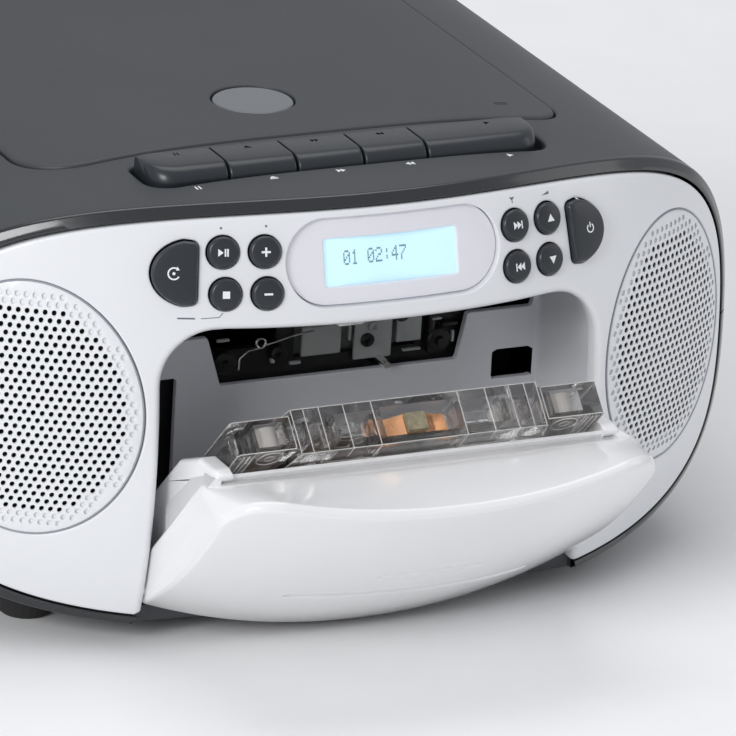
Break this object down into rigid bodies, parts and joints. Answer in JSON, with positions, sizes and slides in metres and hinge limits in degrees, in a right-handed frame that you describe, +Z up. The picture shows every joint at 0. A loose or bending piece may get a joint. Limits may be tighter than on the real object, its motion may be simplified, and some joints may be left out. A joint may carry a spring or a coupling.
{
  "type": "cassette player",
  "caption": "Portable CD, radio and cassette player with bowed white front, round speaker grilles, keys and disc lid on top, and its cassette door open holding a clear cassette.",
  "frame": {"origin": "on the table under the middle of the overall box, feet at z=0", "axes": "+X to the player's right as seen from the front, +Y towards its back, +Z up"},
  "size_m": [0.2436, 0.2634, 0.1196],
  "materials": {
    "fascia_white": "satin moulded white with a soft sheen",
    "door_white": "high gloss moulded white",
    "bay_white": "satin moulded pale grey",
    "cabinet_grey": "finely textured dark grey, polished rim",
    "control_grey": "smooth dark slate with a soft sheen",
    "grille_paint": "perforated sheet, satin white paint",
    "speaker_frame": "black paint and paper",
    "mechanism_black": "black acetal and paint",
    "zinc_steel": "zinc plated sheet",
    "bright_steel": "polished or plated",
    "display_lens": "clear window, tinted pale lavender",
    "display_cyan": "lit liquid crystal panel",
    "cassette_clear": "clear smoke-tinted moulding",
    "hub_white": "plain moulded white",
    "tape_brown": "wound magnetic tape",
    "pad_copper": "phosphor bronze leaf",
    "pad_felt": "olive felt",
    "rubber_black": "matt rubber",
    "window_smoke": "smoked clear window",
    "board_green": "solder-masked board"
  },
  "bodies": {
    "case": {"fascia": "fascia_white", "bay_liner": "bay_white", "cabinet_upper": "cabinet_grey", "cabinet_lower": "cabinet_grey", "cd_deck": "control_grey", "grille_left": "grille_paint", "grille_right": "grille_paint", "speaker_left": "speaker_frame", "speaker_right": "speaker_frame", "deck_chassis": "mechanism_black", "mains_inlet": "mechanism_black", "deck_plate": "zinc_steel", "key_shaft": "bright_steel", "wire_spring": "bright_steel", "display_lens": "display_lens", "display_panel": "display_cyan", "foot_front_left": "rubber_black", "foot_front_right": "rubber_black", "foot_back_left": "rubber_black", "foot_back_right": "rubber_black", "main_board": "board_green"},
    "door": {"door_panel": "door_white", "door_holder": "door_white"},
    "cassette": {"cassette_shell": "cassette_clear", "pad_spring": "pad_copper", "pad_felt": "pad_felt"},
    "tape_hub_left": {"tape_hub_left": "hub_white", "tape_pack": "tape_brown"},
    "tape_hub_right": {"tape_hub_right": "hub_white"},
    "guide_roller_left": {"guide_roller_left": "hub_white"},
    "guide_roller_right": {"guide_roller_right": "hub_white"},
    "button_play_pause": {"button_play_pause": "control_grey"},
    "button_plus": {"button_plus": "control_grey"},
    "button_stop": {"button_stop": "control_grey"},
    "button_minus": {"button_minus": "control_grey"},
    "button_next": {"button_next": "control_grey"},
    "button_up": {"button_up": "control_grey"},
    "button_previous": {"button_previous": "control_grey"},
    "button_down": {"button_down": "control_grey"},
    "button_mode": {"button_mode": "control_grey"},
    "button_power": {"button_power": "control_grey"},
    "key_pause": {"key_pause": "control_grey"},
    "key_stop": {"key_stop": "control_grey"},
    "key_forward": {"key_forward": "control_grey"},
    "key_rewind": {"key_rewind": "control_grey"},
    "key_play": {"key_play": "control_grey"},
    "head_sled": {"head_sled": "zinc_steel", "tape_head": "bright_steel"},
    "pinch_arm": {"pinch_arm": "mechanism_black"},
    "pinch_roller": {"pinch_roller": "rubber_black"},
    "spindle_left": {"spindle_left": "mechanism_black"},
    "spindle_right": {"spindle_right": "mechanism_black"},
    "capstan_flywheel": {"capstan_flywheel": "bright_steel"},
    "cd_spindle": {"cd_spindle": "control_grey"},
    "cd_pickup": {"cd_pickup": "mechanism_black"},
    "cd_lid": {"cd_lid": "cabinet_grey", "lid_window": "window_smoke"},
    "handle": {"handle": "cabinet_grey"},
    "battery_door": {"battery_door": "cabinet_grey"},
    "antenna_mast": {"antenna_mast": "bright_steel"}
  },
  "joints": [
    {"name": "door_swing", "type": "hinge", "parent": "case", "child": "door", "pos_m": [0, -0.07355, 0.0155], "axis": [1, 0, 0], "range_deg": [-45, 0]},
    {"name": "cassette_lift", "type": "slide", "parent": "door", "child": "cassette", "axis": [0, -0.7071, 0.7071], "range_m": [0, 0.07]},
    {"name": "tape_hub_left_turn", "type": "hinge", "parent": "cassette", "child": "tape_hub_left", "pos_m": [-0.02125, -0.0779, 0.04113], "axis": [0, 0.7071, 0.7071], "continuous": true},
    {"name": "tape_hub_right_turn", "type": "hinge", "parent": "cassette", "child": "tape_hub_right", "pos_m": [0.02125, -0.0779, 0.04113], "axis": [0, 0.7071, 0.7071], "continuous": true},
    {"name": "guide_roller_left_turn", "type": "hinge", "parent": "cassette", "child": "guide_roller_left", "pos_m": [-0.0403, -0.09925, 0.06249], "axis": [0, 0.7071, 0.7071], "continuous": true},
    {"name": "guide_roller_right_turn", "type": "hinge", "parent": "cassette", "child": "guide_roller_right", "pos_m": [0.0403, -0.09925, 0.06249], "axis": [0, 0.7071, 0.7071], "continuous": true},
    {"name": "button_play_pause_press", "type": "slide", "parent": "case", "child": "button_play_pause", "axis": [0.2599, 0.9217, -0.288], "range_m": [0, 0.0008], "stiffness_N_per_m": 400},
    {"name": "button_plus_press", "type": "slide", "parent": "case", "child": "button_plus", "axis": [0.1953, 0.9371, -0.2892], "range_m": [0, 0.0008], "stiffness_N_per_m": 400},
    {"name": "button_stop_press", "type": "slide", "parent": "case", "child": "button_stop", "axis": [0.2603, 0.9363, -0.2358], "range_m": [0, 0.0008], "stiffness_N_per_m": 400},
    {"name": "button_minus_press", "type": "slide", "parent": "case", "child": "button_minus", "axis": [0.1956, 0.9517, -0.2367], "range_m": [0, 0.0008], "stiffness_N_per_m": 400},
    {"name": "button_next_press", "type": "slide", "parent": "case", "child": "button_next", "axis": [-0.1953, 0.9371, -0.2892], "range_m": [0, 0.0008], "stiffness_N_per_m": 400},
    {"name": "button_up_press", "type": "slide", "parent": "case", "child": "button_up", "axis": [-0.2599, 0.9217, -0.288], "range_m": [0, 0.0008], "stiffness_N_per_m": 400},
    {"name": "button_previous_press", "type": "slide", "parent": "case", "child": "button_previous", "axis": [-0.1956, 0.9517, -0.2367], "range_m": [0, 0.0008], "stiffness_N_per_m": 400},
    {"name": "button_down_press", "type": "slide", "parent": "case", "child": "button_down", "axis": [-0.2603, 0.9363, -0.2358], "range_m": [0, 0.0008], "stiffness_N_per_m": 400},
    {"name": "button_mode_press", "type": "slide", "parent": "case", "child": "button_mode", "axis": [0.3329, 0.9066, -0.2594], "range_m": [0, 0.0008], "stiffness_N_per_m": 400},
    {"name": "button_power_press", "type": "slide", "parent": "case", "child": "button_power", "axis": [-0.3355, 0.9056, -0.2593], "range_m": [0, 0.0008], "stiffness_N_per_m": 400},
    {"name": "key_pause_press", "type": "hinge", "parent": "case", "child": "key_pause", "pos_m": [0, -0.04555, 0.11], "axis": [1, 0, 0], "range_deg": [0, 7], "stiffness_Nm_per_rad": 0.05, "springref_deg": -1.15},
    {"name": "key_stop_press", "type": "hinge", "parent": "case", "child": "key_stop", "pos_m": [0, -0.04555, 0.11], "axis": [1, 0, 0], "range_deg": [0, 7], "stiffness_Nm_per_rad": 0.05, "springref_deg": -1.15},
    {"name": "key_forward_press", "type": "hinge", "parent": "case", "child": "key_forward", "pos_m": [0, -0.04555, 0.11], "axis": [1, 0, 0], "range_deg": [0, 7], "stiffness_Nm_per_rad": 0.05, "springref_deg": -1.15},
    {"name": "key_rewind_press", "type": "hinge", "parent": "case", "child": "key_rewind", "pos_m": [0, -0.04555, 0.11], "axis": [1, 0, 0], "range_deg": [0, 7], "stiffness_Nm_per_rad": 0.05, "springref_deg": -1.15},
    {"name": "key_play_press", "type": "hinge", "parent": "case", "child": "key_play", "pos_m": [0, -0.04555, 0.11], "axis": [1, 0, 0], "range_deg": [0, 7], "stiffness_Nm_per_rad": 0.05, "springref_deg": -1.15},
    {"name": "head_sled_slide", "type": "slide", "parent": "case", "child": "head_sled", "axis": [0, 0, -1], "range_m": [0, 0.003], "stiffness_N_per_m": 200, "springref_m": -0.001},
    {"name": "pinch_arm_swing", "type": "hinge", "parent": "case", "child": "pinch_arm", "pos_m": [0.021, -0.05085, 0.0804], "axis": [0, -1, 0], "range_deg": [0, 12], "stiffness_Nm_per_rad": 0.01, "springref_deg": -2.86},
    {"name": "pinch_roller_turn", "type": "hinge", "parent": "pinch_arm", "child": "pinch_roller", "pos_m": [0.0145, -0.05685, 0.0764], "axis": [0, 1, 0], "continuous": true},
    {"name": "spindle_left_turn", "type": "hinge", "parent": "case", "child": "spindle_left", "pos_m": [-0.02125, -0.04485, 0.0367], "axis": [0, 1, 0], "continuous": true},
    {"name": "spindle_right_turn", "type": "hinge", "parent": "case", "child": "spindle_right", "pos_m": [0.02125, -0.04485, 0.0367], "axis": [0, 1, 0], "continuous": true},
    {"name": "capstan_turn", "type": "hinge", "parent": "case", "child": "capstan_flywheel", "pos_m": [0.0142, -0.03985, 0.06], "axis": [0, 1, 0], "continuous": true},
    {"name": "cd_spindle_turn", "type": "hinge", "parent": "case", "child": "cd_spindle", "pos_m": [-0.003, 0.03115, 0.098], "axis": [0, 0, 1], "continuous": true},
    {"name": "cd_pickup_slide", "type": "slide", "parent": "case", "child": "cd_pickup", "axis": [1, 0, 0], "range_m": [0, 0.018]},
    {"name": "cd_lid_swing", "type": "hinge", "parent": "case", "child": "cd_lid", "pos_m": [0, 0.09715, 0.1177], "axis": [1, 0, 0], "range_deg": [-65, 0]},
    {"name": "handle_swing", "type": "hinge", "parent": "case", "child": "handle", "pos_m": [0, 0.05015, 0.075], "axis": [1, 0, 0], "range_deg": [0, 95]},
    {"name": "battery_door_swing", "type": "hinge", "parent": "case", "child": "battery_door", "pos_m": [0, 0.11095, 0.0206], "axis": [-1, 0, 0], "range_deg": [0, 80]},
    {"name": "antenna_swing", "type": "hinge", "parent": "case", "child": "antenna_mast", "pos_m": [0.096, 0.11545, 0.093], "axis": [0, 1, 0], "range_deg": [0, 90]}
  ],
  "couplings": [
    {"joint": "key_play_press", "follows": "head_sled_slide", "rad_per_m": 40.724},
    {"joint": "pinch_arm_swing", "follows": "head_sled_slide", "rad_per_m": 69.813}
  ]
}
